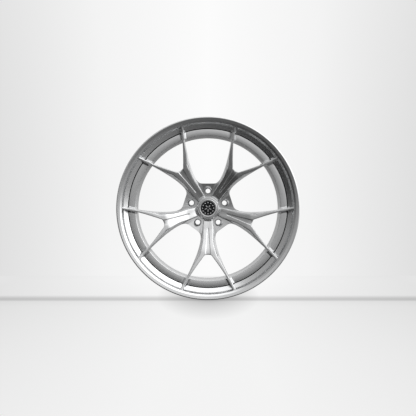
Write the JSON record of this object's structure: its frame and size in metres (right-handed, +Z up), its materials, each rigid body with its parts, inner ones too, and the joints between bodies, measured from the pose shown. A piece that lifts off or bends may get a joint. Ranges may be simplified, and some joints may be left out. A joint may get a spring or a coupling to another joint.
{
  "type": "forged racing wheel rim",
  "caption": "Deep-lipped forged aluminium wheel rim: Y-spoke centre bolted between outer and inner rim halves, with centre cap and tyre valve.",
  "frame": {"origin": "the wheel's centre: on the spin axis, midway between the two outer faces of the rim", "axes": "Y is the spin axis and -Y points out at the street side; +Z is up, through the middle of a wide window; +X is to the right seen from the street side"},
  "size_m": [0.568, 0.254, 0.568],
  "materials": {
    "forged_aluminium": "fine brushed satin, clear coated",
    "polished_aluminium": "fine turned and polished",
    "bright_steel": "zinc plated",
    "black_lacquer": "gloss",
    "rubber": "matt",
    "sealant": "satin",
    "brass": "machined"
  },
  "bodies": {
    "wheel": {"centre_disc": "forged_aluminium", "outer_rim_half": "polished_aluminium", "inner_rim_half": "forged_aluminium", "seam_sealant": "sealant", "rim_bolt_01": "bright_steel", "rim_bolt_02": "bright_steel", "rim_bolt_03": "bright_steel", "rim_bolt_04": "bright_steel", "rim_bolt_05": "bright_steel", "rim_bolt_06": "bright_steel", "rim_bolt_07": "bright_steel", "rim_bolt_08": "bright_steel", "rim_bolt_09": "bright_steel", "rim_bolt_10": "bright_steel", "rim_bolt_11": "bright_steel", "rim_bolt_12": "bright_steel", "rim_bolt_13": "bright_steel", "rim_bolt_14": "bright_steel", "rim_bolt_15": "bright_steel", "rim_bolt_16": "bright_steel", "rim_bolt_17": "bright_steel", "rim_bolt_18": "bright_steel", "rim_bolt_19": "bright_steel", "rim_bolt_20": "bright_steel", "rim_bolt_21": "bright_steel", "rim_bolt_22": "bright_steel", "rim_bolt_23": "bright_steel", "rim_bolt_24": "bright_steel", "rim_bolt_25": "bright_steel", "rim_bolt_26": "bright_steel", "rim_bolt_27": "bright_steel", "rim_bolt_28": "bright_steel", "rim_bolt_29": "bright_steel", "rim_bolt_30": "bright_steel", "valve_stem": "bright_steel", "valve_seal": "rubber", "valve_washer": "bright_steel", "valve_nut": "bright_steel", "valve_core": "brass"},
    "centre_cap": {"cap_body": "polished_aluminium", "cap_emblem": "black_lacquer", "cap_seal": "rubber", "cap_spring_ring": "bright_steel"},
    "valve_pin": {"valve_pin": "brass"},
    "valve_cap_seal": {"valve_cap_seal": "rubber"},
    "valve_cap": {"valve_cap": "black_lacquer"}
  },
  "joints": [
    {"name": "cap_pull", "type": "slide", "parent": "wheel", "child": "centre_cap", "axis": [0, -1, 0], "range_m": [0, 0.024]},
    {"name": "valve_pin_press", "type": "slide", "parent": "wheel", "child": "valve_pin", "axis": [0.7815, 0, 0.6239], "range_m": [0, 0.0012], "stiffness_N_per_m": 500},
    {"name": "valve_cap_lift", "type": "slide", "parent": "wheel", "child": "valve_cap_seal", "axis": [-0.7815, 0, -0.6239], "range_m": [0, 0.00397]},
    {"name": "valve_cap_turn", "type": "hinge", "parent": "valve_cap_seal", "child": "valve_cap", "pos_m": [0.1735, -0.027, 0.1385], "axis": [-0.7815, 0, -0.6239], "range_deg": [0, 1800]}
  ],
  "couplings": [
    {"joint": "valve_cap_turn", "follows": "valve_cap_lift", "rad_per_m": 7913.3}
  ]
}
